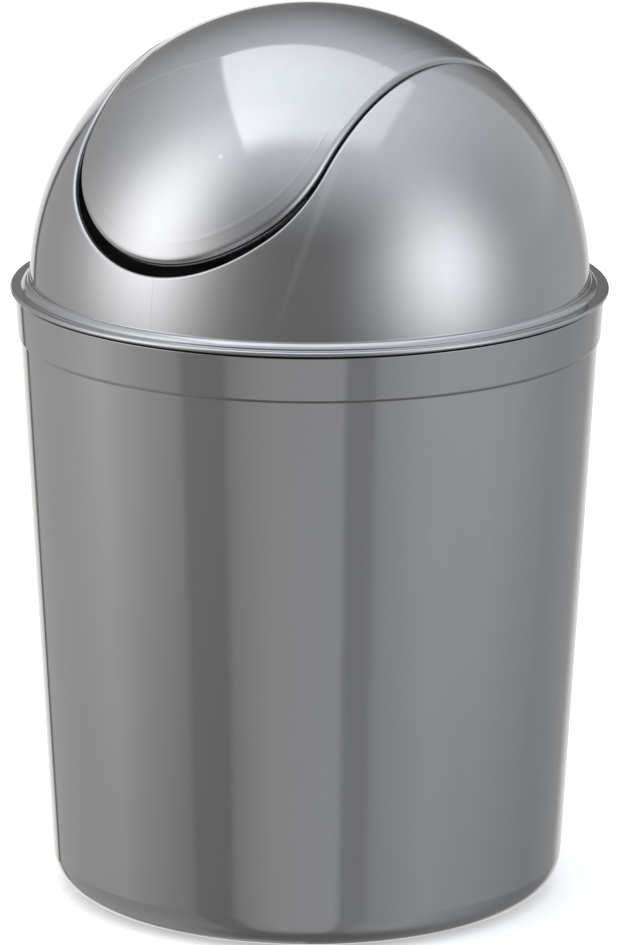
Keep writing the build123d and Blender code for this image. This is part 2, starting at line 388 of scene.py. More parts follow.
# %% Hood sizes
SKIRT_RADIUS = MOUTH_RADIUS - 0.35
DOME_RADIUS = SKIRT_RADIUS - 1.05
DOME_WALL = 1.3
DOME_Z = RIM_Z + 0.65
FLAP_SIDE_GAP = 0.55
FLAP_FOOT_GAP = 1.9
FLAP_MID_RADIUS = DOME_RADIUS - 0.8
FLAP_Z = DOME_Z + 0.5
DOME = {"across": DOME_RADIUS, "middle": DOME_RADIUS, "z": DOME_Z, "lift": 0}
FLAP = {
    "across": FLAP_MID_RADIUS + 0.9,
    "middle": FLAP_MID_RADIUS,
    "z": FLAP_Z,
    "lift": FLAP_FOOT_GAP - FLAP_SIDE_GAP,
}
print("dome radius", round(DOME_RADIUS, 2), "mm")

# %% Rings where the U crosses a hood
SAMPLES = 4000
WIDEST_TURN = 1.4        # radians from the hood's middle to beyond every edge on it
HALVINGS = 50
QUARTER_STEPS = 140
QUARTER_ANGLES = np.linspace(-math.pi / 2, 0, QUARTER_STEPS + 1)


def hood_at(hood, x, depth):
    """Radius about the side-to-side line, and the normal's two parts, at places x."""
    turn = np.linspace(0, WIDEST_TURN, SAMPLES)
    along, out = np.sin(turn) / hood["across"], np.cos(turn) / hood["middle"]
    length = np.hypot(along, out)
    along, out = along / length, out / length
    table_x = hood["across"] * np.sin(turn) - depth * along
    table_radius = hood["middle"] * np.cos(turn) - depth * out
    return [np.interp(x, table_x, column) for column in (table_radius, along, out)]


def on_hood(hood, s, offset, depth):
    """Points and both kinds of normals at distances s along the U."""
    x, z, wall_x, wall_z = outline(s, offset, hood["lift"])
    radius, along, out = hood_at(hood, x, depth)
    rise = z - hood["z"]
    y = -np.sqrt(np.maximum(radius**2 - rise**2, 0))
    return {
        "s": s,
        "points": np.stack([x, y, z], axis=1),
        "hood": np.stack([along, out * y / radius, out * rise / radius], axis=1),
        "wall": np.stack([wall_x, np.zeros_like(x), wall_z], axis=1),
    }


def rim_ring(hood, offset, depth):
    """A quarter of the ring, from the front centre to the side, at even angles in plan."""
    low, high = BOTTOM_LENGTH + CORNER_LENGTH, BOTTOM_LENGTH + CORNER_LENGTH + DOME_RADIUS
    for _ in range(HALVINGS):
        top = (low + high) / 2
        x, z, _, _ = outline(np.array([top]), offset, hood["lift"])
        inside = hood_at(hood, x, depth)[0][0] > z[0] - hood["z"]
        low, high = (top, high) if inside else (low, top)
    s = low * (1 - np.linspace(1, 0, SAMPLES) ** 2)
    points = on_hood(hood, s, offset, depth)["points"]
    angles = np.arctan2(points[:, 1], points[:, 0])
    ring = on_hood(hood, np.interp(QUARTER_ANGLES, angles, s), offset, depth)
    ring["points"][-1, 1] = 0
    ring["hood"][-1, 1] = 0
    return {**ring, "-hood": -ring["hood"], "-wall": -ring["wall"]}


# %% Rows between rings
FINE_STEPS = 4           # steps of the smallest roundings


def rounding_rows(ring, radius, start, end, steps=FINE_STEPS):
    """Rows of an arc about a ring, from one of its sets of normals to another."""
    start, end = ring[start], ring[end]
    turn = np.arccos(np.clip((start * end).sum(axis=1, keepdims=True), -1, 1))
    shares = [k / steps for k in range(steps + 1)]
    return [ring["points"] + radius * swing(start, end, turn, t) for t in shares]


def wall_rows(hood, first, last, offset, shares):
    """Rows on the straight-drawn wall of the U, between two rings that lie on it."""
    rows = []
    for share in shares:
        s = (1 - share) * first["s"] + share * last["s"]
        x, z, _, _ = outline(s, offset, hood["lift"])
        y = (1 - share) * first["points"][:, 1] + share * last["points"][:, 1]
        rows.append(np.stack([x, y, z], axis=1))
    return rows


def full_ring(quarter):
    """The whole ring from its front right quarter, by symmetry."""
    right = np.concatenate([quarter, quarter[-2::-1] * (1, -1, 1)])
    return np.concatenate([right, right[-2:0:-1] * (-1, 1, 1)])


# %% Loft
def loft(name, rows, finish, poles=()):
    """A closed mesh over rows of points in millimetres: a ring, or rows between two poles."""
    count, width = len(rows), len(rows[0])
    columns = [(k, (k + 1) % width) for k in range(width)]
    points = np.concatenate([*rows, np.reshape(poles, (-1, 3))])
    faces = []
    for i in range(count - 1 if poles else count):
        here, there = i * width, (i + 1) % count * width
        faces += [(here + k, here + after, there + after, there + k) for k, after in columns]
    if poles:
        edge, pole = (count - 1) * width, count * width
        faces += [(pole, after, k) for k, after in columns]
        faces += [(pole + 1, edge + k, edge + after) for k, after in columns]
    mesh = bpy.data.meshes.new(name)
    mesh.from_pydata((points * MM).tolist(), [], faces)
    mesh.shade_smooth()
    mesh.materials.append(finish)
    face_outwards(mesh)
    return add_object(name, mesh)


# %% [markdown]
# ## Dome
# The dome is a loft in rings. Its skirt, bead and groove are turned, so those rings are level
# circles. Above the groove each column climbs a meridian of the ball to the edge of the
# opening, goes round its rounding, through the wall and down the inside. A boolean cut would
# be shorter to write, but its long thin faces along the edge would show in a glossy finish.

# %% Dome sizes
SKIRT_WALL = 1.2
SKIRT_FOOT_Z = RIM_Z - 9.0
INNER_TOP_RADIUS = SKIRT_RADIUS - SKIRT_WALL
BEAD_RADIUS = MOUTH_RADIUS + 0.5
BEAD_INNER_RADIUS = BEAD_RADIUS - 1.7
BEAD_Z = RIM_Z + 1.4
BEAD_LIP_Z = RIM_Z + 0.15
BEAD_CROWN_RADIUS = BEAD_RADIUS - 0.76
BEAD_CROWN_Z = RIM_Z + 1.16
GROOVE_Z = RIM_Z + 1.2
DOME_FOOT_Z = GROOVE_Z + 1.0
INNER_DOME_RADIUS = DOME_RADIUS - DOME_WALL
LIP_ROUNDING = 0.6
INNER_ROUNDING = 0.2
OUTSIDE_SHARES = [0.004, *np.linspace(0.02, 0.985, 46), 0.9965]
THROUGH_SHARES = (0.2, 0.5, 0.8)
INSIDE_SHARES = [0.996, *np.linspace(0.97, 0.03, 19)]


# %% Level circles and meridians
def ball_radius(z):
    """Radius of a level circle of the dome's ball at a height."""
    return math.sqrt(DOME_RADIUS**2 - (z - DOME_Z) ** 2)


def level_rows(points, angles):
    """Level circles through (radius, height) points, with columns at these angles."""
    return [
        np.stack([r * np.cos(angles), r * np.sin(angles), np.full_like(angles, z)], axis=1)
        for r, z in points
    ]


def meridian_rows(radius, low_angle, edge, shares):
    """Rows on the ball from a level angle up to an uneven edge, and the edge's plan angles."""
    upper = edge - (0, 0, DOME_Z)
    plan = np.arctan2(upper[:, 1], upper[:, 0])
    high_angles = np.arcsin(upper[:, 2] / radius)
    rows = []
    for share in shares:
        lift = low_angle + share * (high_angles - low_angle)
        ring = np.stack(
            [np.cos(lift) * np.cos(plan), np.cos(lift) * np.sin(plan), np.sin(lift)], axis=1
        )
        rows.append(ring * radius + (0, 0, DOME_Z))
    return rows, plan


# %% Dome
outer_edge = rim_ring(DOME, LIP_ROUNDING, LIP_ROUNDING)
outer_edge_rows = rounding_rows(outer_edge, LIP_ROUNDING, "hood", "-wall", ARC_STEPS)
inner_edge = rim_ring(DOME, INNER_ROUNDING, DOME_WALL - INNER_ROUNDING)
inner_edge_rows = rounding_rows(inner_edge, INNER_ROUNDING, "-wall", "-hood")
foot_angle = math.asin((DOME_FOOT_Z - DOME_Z) / DOME_RADIUS)
outer_rows, plan = meridian_rows(DOME_RADIUS, foot_angle, outer_edge_rows[0], OUTSIDE_SHARES)
inner_rows, _ = meridian_rows(INNER_DOME_RADIUS, 0, inner_edge_rows[-1], INSIDE_SHARES)
skirt_corners = [        # (radius, height, rounding)
    (INNER_DOME_RADIUS, DOME_Z, 0),
    (INNER_TOP_RADIUS, RIM_Z - SKIRT_WALL, 0.8),
    (INNER_TOP_RADIUS - BAND_DRAFT, SKIRT_FOOT_Z, 0.3),
    (SKIRT_RADIUS - BAND_DRAFT, SKIRT_FOOT_Z, 0.4),
    (SKIRT_RADIUS, RIM_Z, 0.15),
    (BEAD_RADIUS, RIM_Z, 0.05),
    (BEAD_RADIUS, BEAD_LIP_Z, 0.1),
    (BEAD_CROWN_RADIUS, BEAD_CROWN_Z, 2.4),
    (BEAD_INNER_RADIUS, BEAD_Z, 0.1),
    (BEAD_INNER_RADIUS, GROOVE_Z, 0.05),
    (ball_radius(GROOVE_Z), GROOVE_Z, 0.2),
    (ball_radius(DOME_FOOT_Z), DOME_FOOT_Z, 0),
]
dome_rows = (
    level_rows(rounded_outline(skirt_corners), plan)
    + outer_rows
    + outer_edge_rows
    + wall_rows(DOME, outer_edge, inner_edge, 0, THROUGH_SHARES)
    + inner_edge_rows
    + inner_rows
)
dome_skin = loft("dome_skin", [full_ring(row) for row in dome_rows], silver["lid"])
print("dome faces", len(dome_skin.data.polygons))

# %% [markdown]
# ## Flap
# The flap is a thin curved panel whose edge turns down all round, which stiffens it and hides
# the gap. Its rings start at the crown, spread to the edge, follow the rounding and the outer
# side of the turned-down edge, go round its foot, and come back up to the underside. A very
# low crest runs along the edge.

# %% Flap sizes
FLAP_WALL = 1.3
FLAP_EDGE_DEPTH = 4.8
FLAP_ROUNDING = 1.8
FOOT_ROUNDING = 0.2
UNDER_ROUNDING = 0.3
EDGE_STEPS = 8
OUTER_OFFSET = -FLAP_SIDE_GAP
INNER_OFFSET = -FLAP_SIDE_GAP - FLAP_WALL
FOOT_DEPTH = FLAP_EDGE_DEPTH - FOOT_ROUNDING
CREST_INSET, CREST_SPREAD, CREST_HEIGHT = 3.2, 0.45, 0.02
PANEL_SHARES = [
    *np.linspace(1 / 44, 38 / 44, 38), *np.linspace(0.87, 0.975, 25), 0.985, 0.9965
]
UNDER_SHARES = [0.995, *np.linspace(29 / 30, 1 / 30, 29)]
DOWN_SHARES = (0.04, 0.35, 0.65, 0.96)
UP_SHARES = (0.05, 0.5, 0.95)


def panel_rows(hood, depth, edge, shares, crest=0.0):
    """Rings on a hood between its crown and an edge ring, with a fine crest near the edge."""
    x, y, rise = edge[:, 0], edge[:, 1], edge[:, 2] - hood["z"]
    tilt = np.arctan2(y, rise)
    reach = np.hypot(x, hood_at(hood, x, depth)[0] * tilt)
    rows = []
    for share in shares:
        raised = crest * np.exp(-((((1 - share) * reach - CREST_INSET) / CREST_SPREAD) ** 2))
        radius = hood_at(hood, share * x, depth)[0] + raised
        turn = share * tilt
        ring = np.stack([share * x, radius * np.sin(turn), radius * np.cos(turn)], axis=1)
        rows.append(ring + (0, 0, hood["z"]))
    return rows


# %% Flap
flap_edge = rim_ring(FLAP, OUTER_OFFSET - FLAP_ROUNDING, FLAP_ROUNDING)
foot_outer = rim_ring(FLAP, OUTER_OFFSET - FOOT_ROUNDING, FOOT_DEPTH)
foot_inner = rim_ring(FLAP, INNER_OFFSET + FOOT_ROUNDING, FOOT_DEPTH)
under_edge = rim_ring(FLAP, INNER_OFFSET - UNDER_ROUNDING, FLAP_WALL + UNDER_ROUNDING)

flap_edge_rows = rounding_rows(flap_edge, FLAP_ROUNDING, "hood", "wall", EDGE_STEPS)
under_edge_rows = rounding_rows(under_edge, UNDER_ROUNDING, "wall", "hood")
flap_rows = (
    panel_rows(FLAP, 0, flap_edge_rows[0], PANEL_SHARES, CREST_HEIGHT)
    + flap_edge_rows
    + wall_rows(FLAP, flap_edge, foot_outer, OUTER_OFFSET, DOWN_SHARES)
    + rounding_rows(foot_outer, FOOT_ROUNDING, "wall", "-hood")
    + rounding_rows(foot_inner, FOOT_ROUNDING, "-hood", "-wall")
    + wall_rows(FLAP, foot_inner, under_edge, INNER_OFFSET, UP_SHARES)
    + under_edge_rows
    + panel_rows(FLAP, FLAP_WALL, under_edge_rows[-1], UNDER_SHARES)
)
crown_z = FLAP_Z + FLAP_MID_RADIUS
flap_skin = loft(
    "flap_skin",
    [full_ring(row) for row in flap_rows],
    silver["flap"],
    poles=[(0, 0, crown_z), (0, 0, crown_z - FLAP_WALL)],
)
print("flap faces", len(flap_skin.data.polygons))

# %% [markdown]
# ## Hinge
# The flap hangs on two short pins that are moulded to a lug under each of its sides. Each pin
# turns in a hole in a cheek under the lid's hump. Each of these parts is made once, for the
# right side. A second node tree then puts a copy on the left, turned half round the can's
# axis, because the hinge is the same seen from both ends.

# %% Hinge sizes
PIVOT_DROP = 6.1
OPENING_TOP = rim_ring(DOME, 0, 0)["points"][-1]
PIVOT_Z = OPENING_TOP[2] - PIVOT_DROP
CHEEK_X = OPENING_TOP[0]
CHEEK_END_X = CHEEK_X + 1.5
LUG_THICKNESS = 1.8
LUG_X = CHEEK_X - PIVOT_DROP * math.tan(SIDE_DRAFT) - 1.2
LUG_INNER_X = LUG_X - LUG_THICKNESS
LUG_MIDDLE_X = LUG_X - 0.5 * LUG_THICKNESS
LUG_HOLE_RADIUS = 1.0
PIN_RADIUS = 2.0
PIN_TIP_X = CHEEK_END_X + 0.6
PIN_CHAMFER = 0.5
PIN_STEPS = 72
BOSS_RADIUS = 3.5
BOSS_END_X = CHEEK_X - 0.3
HOLE_RADIUS = 2.08
CHEEK_RIM, CHEEK_HALF_WIDTH = 2.6, 8.0
LUG_RIM, LUG_HALF_WIDTH = 2.2, 7.5
PLATE_ROUNDING = 0.25
PLATE_STEPS = 96
CIRCLE_STEPS = 240
print("pivot height", round(float(PIVOT_Z), 2), "mm")


# %% Hinge plates
def plate_outline(hood, hole_radius, rim, half_width):
    """The outline of a hinge plate about its pivot: a round eye that widens to its root."""
    root_z = hood["z"] + hood["middle"] - PIVOT_Z
    circles = [(0, 0, hole_radius + rim), (-half_width, root_z, rim), (half_width, root_z, rim)]
    turns = np.linspace(0, math.tau, CIRCLE_STEPS, endpoint=False)
    cloud = [(y + r * math.cos(t), z + r * math.sin(t)) for y, z, r in circles for t in turns]
    hull = np.array([cloud[i] for i in geometry.convex_hull_2d(cloud)])
    angles = np.arctan2(hull[:, 1], hull[:, 0])
    order = np.argsort(angles)
    distances = np.hypot(*hull.T)[order]
    wanted = np.linspace(-math.pi, math.pi, PLATE_STEPS, endpoint=False)
    reach = np.interp(wanted, angles[order], distances, period=math.tau)
    return np.stack([reach * np.cos(wanted), reach * np.sin(wanted)], axis=1)


def plate_rows(rim, hole_radius, x_from, x_to, hood, depth):
    """Rings of a plate with rounded edges, from its hole out to its rim and back."""
    outward = rim / np.linalg.norm(rim, axis=1, keepdims=True)
    eye = outward * hole_radius
    soft = PLATE_ROUNDING
    turns = [math.pi / 2 * k / FINE_STEPS for k in range(FINE_STEPS + 1)]
    stations = [(eye, 0, x_from), (rim, 2 * soft, x_from)]
    for t in turns:
        stations.append((rim, soft - soft * math.sin(t), x_from + soft - soft * math.cos(t)))
    for t in turns:
        stations.append((rim, soft - soft * math.cos(t), x_to - soft + soft * math.sin(t)))
    stations += [(rim, 2 * soft, x_to), (eye, 0, x_to)]
    rows = []
    for ring, inset, x in stations:
        y, z = (ring - outward * inset).T
        ceiling = hood["z"] + np.sqrt(hood_at(hood, x, depth)[0] ** 2 - y**2)
        z = np.minimum(z + PIVOT_Z, ceiling)
        rows.append(np.stack([np.full(PLATE_STEPS, x), y, z], axis=1))
    return rows


# %% Cheek, lug and pin for the right side
cheek_rim = plate_outline(DOME, HOLE_RADIUS, CHEEK_RIM, CHEEK_HALF_WIDTH)
cheek_rows = plate_rows(cheek_rim, HOLE_RADIUS, CHEEK_X, CHEEK_END_X, DOME, DOME_WALL / 2)
right_cheek = loft("right_cheek", cheek_rows, silver["lid"])
lug_rim = plate_outline(FLAP, PIN_RADIUS, LUG_RIM, LUG_HALF_WIDTH)
lug_rows = plate_rows(lug_rim, LUG_HOLE_RADIUS, LUG_INNER_X, LUG_X, FLAP, FLAP_WALL / 2)
right_lug = loft("right_lug", lug_rows, silver["flap"])
pin_corners = [          # (radius, distance from the can's middle, rounding)
    (0, LUG_MIDDLE_X, 0),
    (BOSS_RADIUS, LUG_MIDDLE_X, 0),
    (BOSS_RADIUS, BOSS_END_X, 0.25),
    (PIN_RADIUS, BOSS_END_X, 0.2),
    (PIN_RADIUS, PIN_TIP_X - PIN_CHAMFER, 0.15),
    (PIN_RADIUS - PIN_CHAMFER, PIN_TIP_X, 0.15),
    (0, PIN_TIP_X, 0),
]
pin_upright = turned_piece("pin_upright", pin_corners, PIN_STEPS, silver["flap"])
print("pin faces", len(pin_upright.data.polygons))


# %% The tree that puts a hinge part on both sides
def both_sides_tree():
    """Turns a part that was made upright onto the hinge line, and copies it to both sides."""
    tree, given = geometry_tree("hinge_pair", Tilt="Float", Height="Float")
    tilt = node(tree, "ShaderNodeCombineXYZ", {"Y": given["Tilt"]})
    lift = node(tree, "ShaderNodeCombineXYZ", {"Z": given["Height"]})
    moved = {"Geometry": given["Geometry"], "Rotation": tilt, "Translation": lift}
    laid = node(tree, "GeometryNodeTransform", moved)
    sides = node(tree, "GeometryNodeMeshLine", {"Count": 2, "Offset": (0, 0, 0)}, mode="OFFSET")
    index = node(tree, "GeometryNodeInputIndex")
    spin = node(tree, "ShaderNodeCombineXYZ", {"Z": product(index, math.pi)})
    copied = {"Points": sides, "Instance": laid, "Rotation": spin}
    end_tree(tree, given, node(tree, "GeometryNodeInstanceOnPoints", copied))
    return tree


PAIR = both_sides_tree()


def pair(part, name, finish, tilt=0.0, height=0.0):
    """The part on both sides of the can, as one piece."""
    return run_tree(part, PAIR, {"Tilt": tilt, "Height": height, "Finish": finish}, name)


hinge_cheeks = pair(right_cheek, "hinge_cheeks", silver["lid"])
hinge_lugs = pair(right_lug, "hinge_lugs", silver["flap"])
hinge_pins = pair(pin_upright, "hinge_pins", silver["flap"], math.pi / 2, PIVOT_Z * MM)
for piece in (hinge_cheeks, hinge_lugs, hinge_pins):
    print(piece.name, len(piece.data.polygons))

# %% [markdown]
# ## Riding on the frame
# Each skin follows the body that it belongs to, and stands in for that body's plain solid.

# %% Bodies
for piece, body, solid in (
    (bucket_skin, "can", "bucket"),
    (dome_skin, "lid", "dome_lid"),
    (hinge_cheeks, "lid", "dome_lid"),
    (flap_skin, "flap", "swing_flap"),
    (hinge_lugs, "flap", "swing_flap"),
    (hinge_pins, "flap", "swing_flap"),
):
    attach(piece, body)
    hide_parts(solid)
    print(piece.name, "rides on", body)

# %% [markdown]
# ## Silver plastic
# The plastic is coloured through with fine aluminium flakes, and the mould was polished. So
# light comes back broadly from the flakes and sharply from the smooth skin over them. A
# nearly metallic base with a clear coat gives both.

# %% Shader helpers
KINDS = {1: "NodeSocketFloat", 3: "NodeSocketVector", 4: "NodeSocketColor"}


def shader_group(name, outputs, **inputs):
    """A shader node group: defaults by input, and by output how many numbers it holds."""
    tree = bpy.data.node_groups.new(name, "ShaderNodeTree")
    for label, default in inputs.items():
        kind = KINDS[np.size(default)]
        socket = tree.interface.new_socket(label, in_out="INPUT", socket_type=kind)
        socket.default_value = default
    for label, size in outputs.items():
        tree.interface.new_socket(label, in_out="OUTPUT", socket_type=KINDS[size])
    return tree, node(tree, "NodeGroupInput").outputs, node(tree, "NodeGroupOutput").inputs


def group_node(tree, group, **values):
    """The outputs of a group node with its inputs set by name."""
    return node(tree, "ShaderNodeGroup", values, node_tree=group).outputs


def object_place(tree):
    """Where a point lies on the moulding, in metres."""
    return node(tree, "ShaderNodeTexCoord").outputs["Object"]


def noise_node(place, scale, detail):
    """The factor of one Noise Texture."""
    inputs = {"Vector": place, "Scale": scale, "Detail": detail}
    return node(tree_of(place), "ShaderNodeTexNoise", inputs).outputs["Fac"]


def slope(value, low, high):
    """A smooth rise from 0 at `low` to 1 at `high`."""
    inputs = {"Value": value, "From Min": low, "From Max": high}
    return node(tree_of(value), "ShaderNodeMapRange", inputs, interpolation_type="SMOOTHSTEP")


def vector_node(operation, a, b=(0, 0, 0), output="Vector"):
    """One output of a Vector Math node."""
    new = node(tree_of(a, b), "ShaderNodeVectorMath", {0: a, 1: b}, operation=operation)
    return new.outputs[output]


def scaled(vector, amount):
    """A vector or colour made longer or brighter."""
    inputs = {0: vector, "Scale": amount}
    return node(tree_of(vector, amount), "ShaderNodeVectorMath", inputs, operation="SCALE")


def spread(value, amount):
    """A noise factor moved from 0..1 to a range of this size about zero."""
    return product(minus(value, 0.5), amount)


# %% [markdown]
# The pigment is never quite even. Flakes give a fine grain, and the melt draws them out into
# soft streaks down the wall. `Lighten` lets a mark make the plastic paler or darker, and also
# carries painted shade and painted light.

# %% Pigment
SILVER = (0.37, 0.372, 0.378, 1)
FLAKE_SCALE, CLOUD_SCALE, STREAK_SCALE = 2600, 40, 260
DRAWN_OUT = (1, 1, 0.12)


def flake_group():
    """Colour of plastic filled with fine flakes, with faint streaks where the melt flowed."""
    tree, given, result = shader_group(
        "flake_pigment", {"Colour": 4}, Colour=SILVER, Flake=0.05, Flow=0.05, Lighten=0.0
    )
    place = object_place(tree)
    stretched = vector_node("MULTIPLY", place, DRAWN_OUT)
    flakes = spread(noise_node(place, FLAKE_SCALE, 1), given["Flake"])
    cloud = spread(noise_node(stretched, CLOUD_SCALE, 2), given["Flow"])
    streaks = spread(noise_node(stretched, STREAK_SCALE, 2), given["Flow"])
    level = total(flakes, total(cloud, streaks), 1.0, given["Lighten"])
    feed(tree, result["Colour"], scaled(given["Colour"], level))
    return tree


# %% [markdown]
# The visible side of the mould is polished, and the inner side is only smooth. `Inside` tells
# one from the other: there the surface faces the middle of the can.

# %% Polish
BODY_CENTRE = (0, 0, 100 * MM)
INSIDE_EDGE = (0.02, -0.08)
HAZE_SCALE, RUB_SCALE, WAVE_SCALE = 45, 90, 38
RUB_SQUEEZE = (1, 1, 6)
RUB_EDGE, RUB_ROUGHNESS = (0.62, 0.72), 0.04


def polish_group():
    """Roughness and height of a moulding that is polished outside and satin inside."""
    results = {"Roughness": 1, "Height": 1, "Inside": 1}
    tree, given, result = shader_group(
        "moulded_polish", results, Roughness=0.07, Variation=0.03, Satin=0.3
    )
    coordinates = node(tree, "ShaderNodeTexCoord").outputs
    place = coordinates["Object"]
    outwards = vector_node("NORMALIZE", vector_node("SUBTRACT", place, BODY_CENTRE))
    facing = vector_node("DOT_PRODUCT", outwards, coordinates["Normal"], "Value")
    inside = slope(facing, *INSIDE_EDGE)
    haze = spread(noise_node(place, HAZE_SCALE, 2), given["Variation"])
    squeezed = vector_node("MULTIPLY", place, RUB_SQUEEZE)
    rub = slope(noise_node(squeezed, RUB_SCALE, 3), *RUB_EDGE)
    wear = product(rub, RUB_ROUGHNESS)
    satin = product(inside, given["Satin"])
    feed(tree, result["Roughness"], total(given["Roughness"], haze, wear, satin))
    feed(tree, result["Height"], noise_node(place, WAVE_SCALE, 1))
    feed(tree, result["Inside"], inside)
    return tree


# %% [markdown]
# Marks tell how the can was moulded. Under the scoop a hair line shows where two fronts of
# melt met, streaks run where the flakes turned round the opening, and a speck of dust sat in
# the mould. The groove under the flange is too narrow for light to reach, so it is darkened.

# %% Mould marks
MASK = {"Mask": 1}
SEAM_X = 2.0 * MM
FRONT_EDGE = (-30 * MM, -40 * MM)


def seam_group():
    """A hair line down the front of the lid, under the opening."""
    tree, given, result = shader_group("meeting_line", MASK, Width=0.2 * MM)
    parts = xyz(object_place(tree))
    off = math_node("ABSOLUTE", minus(parts["X"], SEAM_X))
    line = slope(off, given["Width"], 0.0)
    front = slope(parts["Y"], *FRONT_EDGE)
    feed(tree, result["Mask"], product(line, front))
    return tree


def streak_group():
    """A soft band along a great circle of the dome, strongest near `Place`."""
    tree, given, result = shader_group(
        "flow_streak", MASK, Across=(1, 0, 0), Place=(0, 0, 0), Width=MM, Length=30 * MM
    )
    place = object_place(tree)
    radial = vector_node("SUBTRACT", place, (0, 0, DOME_Z * MM))
    off = vector_node("DOT_PRODUCT", radial, given["Across"], "Value")
    band = slope(math_node("ABSOLUTE", off), given["Width"], 0.0)
    reach = vector_node("DISTANCE", place, given["Place"], "Value")
    feed(tree, result["Mask"], product(band, slope(reach, given["Length"], 0.0)))
    return tree


def speck_group():
    """A round speck at `Place`."""
    tree, given, result = shader_group("mould_speck", MASK, Place=(0, 0, 0), Size=0.5 * MM)
    reach = vector_node("DISTANCE", object_place(tree), given["Place"], "Value")
    feed(tree, result["Mask"], slope(reach, given["Size"], 0.0))
    return tree


# %% Shade in the groove
SHADE_RADII = ((BAND_TOP_RADIUS - 1.0) * MM, (BAND_TOP_RADIUS - 0.8) * MM)
SHADE_SOFTNESS = 0.15 * MM


def groove_group():
    """The shaded groove round the band, under the flange."""
    tree, given, result = shader_group("flange_groove", MASK, Low=0.0, High=1.0)
    place = object_place(tree)
    height = xyz(place)["Z"]
    flat = vector_node("MULTIPLY", place, (1, 1, 0))
    outer = slope(vector_node("LENGTH", flat, output="Value"), *SHADE_RADII)
    above = slope(minus(height, given["Low"]), -SHADE_SOFTNESS, 0.0)
    below = slope(minus(given["High"], height), -SHADE_SOFTNESS, 0.0)
    feed(tree, result["Mask"], product(outer, above, below))
    return tree


# %% The three mouldings' finish
FLAKES, POLISH = flake_group(), polish_group()
SEAM, STREAK, SPECK, GROOVE = seam_group(), streak_group(), speck_group(), groove_group()
OUTER_METALLIC, INNER_METALLIC = 0.95, 0.3
# Painted light: the inner side is made paler, standing in for the light that hardly reaches
# inside the can.
INNER_PAINTED_LIGHT = 0.5
COAT_WEIGHT, COAT_ROUGHNESS = 0.3, 0.03
BUMP_STRENGTH, BUMP_DISTANCE = 0.06, 0.1 * MM

SIDE_STREAK = {
    "Across": (0.8415, 0.4376, -0.3167), "Place": (0.0338, -0.048, 0.162),
    "Width": 1.5 * MM, "Length": 30 * MM,
}
FLAP_STREAK = {
    "Across": (-0.3908, 0.8215, 0.4152), "Place": (-0.0165, -0.033, 0.1912),
    "Width": 0.7 * MM, "Length": 22 * MM,
}
FLAP_SPECK = {"Place": (0.01033, -0.0486, 0.17878), "Size": 0.8 * MM}
# Marks from the mould, and painted shade in the bucket's groove under the flange, where little
# light reaches.
MARKS_AND_SHADE = {                # (group, its inputs, how much it lightens)
    "bucket": [(GROOVE, {"Low": UNDERCUT_Z * MM, "High": UNDERSIDE_Z * MM}, -0.75)],
    "lid": [(SEAM, {}, -0.12), (STREAK, SIDE_STREAK, 0.22)],
    "flap": [(STREAK, FLAP_STREAK, 0.16), (SPECK, FLAP_SPECK, 0.32)],
}


def silver_plastic(material, marks):
    """Flake-filled glossy plastic with a clear skin, tinted by its marks, painted shade and
    light.
    """
    tree = empty_tree(material)
    masks = [
        product(group_node(tree, group, **given)["Mask"], strength)
        for group, given, strength in marks
    ]
    polish = group_node(tree, POLISH)
    # The pigment's level takes the marks, the painted shade in the groove and the painted light
    # on the inner side.
    lighten = total(0.0, *masks, product(polish["Inside"], INNER_PAINTED_LIGHT))
    pigment = group_node(tree, FLAKES, Lighten=lighten)
    waves = {"Strength": BUMP_STRENGTH, "Distance": BUMP_DISTANCE, "Height": polish["Height"]}
    bump = node(tree, "ShaderNodeBump", waves)
    shine = {"Value": polish["Inside"], "To Min": OUTER_METALLIC, "To Max": INNER_METALLIC}
    metallic = node(tree, "ShaderNodeMapRange", shine)
    plastic = node(tree, "ShaderNodeBsdfPrincipled", {
        "Base Color": pigment["Colour"],
        "Metallic": metallic,
        "Roughness": polish["Roughness"],
        "Normal": bump,
        "Coat Weight": COAT_WEIGHT,
        "Coat Roughness": COAT_ROUGHNESS,
    })
    node(tree, "ShaderNodeOutputMaterial", {"Surface": plastic})


for part, material in silver.items():
    silver_plastic(material, MARKS_AND_SHADE[part])
    print("finished", material.name)

# %% [markdown]
# ## Camera
# A long lens keeps the can's sides nearly parallel. The camera stands to the right of the
# front, a little above the rim, and looks slightly down.

# %% Camera
CAMERA_AZIMUTH = math.radians(35.2)
CAMERA_PITCH = math.radians(14.54)
CAMERA_ROLL = 0.0043
CAMERA_DISTANCE = 1.7033
CAMERA_HEIGHT = 0.5375

camera_data = bpy.data.cameras.new("camera")
camera_data.sensor_fit = "VERTICAL"
camera_data.sensor_height = 36
camera_data.lens = 295.6
camera_data.shift_x = 0.00184
camera = add_object("camera", camera_data)
camera.matrix_world = (
    Matrix.Rotation(CAMERA_AZIMUTH, 4, "Z")
    @ Matrix.Translation((0, -CAMERA_DISTANCE, CAMERA_HEIGHT))
    @ Matrix.Rotation(math.pi / 2 - CAMERA_PITCH, 4, "X")
    @ Matrix.Rotation(CAMERA_ROLL, 4, "Z")
)
bpy.context.scene.camera = camera
print("camera at", [round(v, 3) for v in camera.location])

# %% [markdown]
# ## Room
# A polished can shows mostly what stands round it, so all its light comes from the room, and
# there are no lamps. The room is a set of soft shapes on an imaginary ball, placed by their
# azimuth from the camera and their height above the horizon, in degrees. An environment
# texture would be quicker, but its shapes couldn't be moved one at a time.

# %% Directions
world = bpy.data.worlds.new("studio")
bpy.context.scene.world = world
sky = empty_tree(world)

direction = node(sky, "ShaderNodeTexCoord").outputs["Generated"]
from_camera = {"Vector": direction, "Angle": -CAMERA_AZIMUTH}
turned = node(sky, "ShaderNodeVectorRotate", from_camera, rotation_type="Z_AXIS")
parts = xyz(turned)
backwards = product(parts["Y"], -1.0)
azimuth = math_node("DEGREES", math_node("ARCTAN2", parts["X"], backwards))
height = math_node("DEGREES", math_node("ARCSINE", parts["Z"]))
place = total(math_node("DIVIDE", azimuth, 360.0), 0.5)


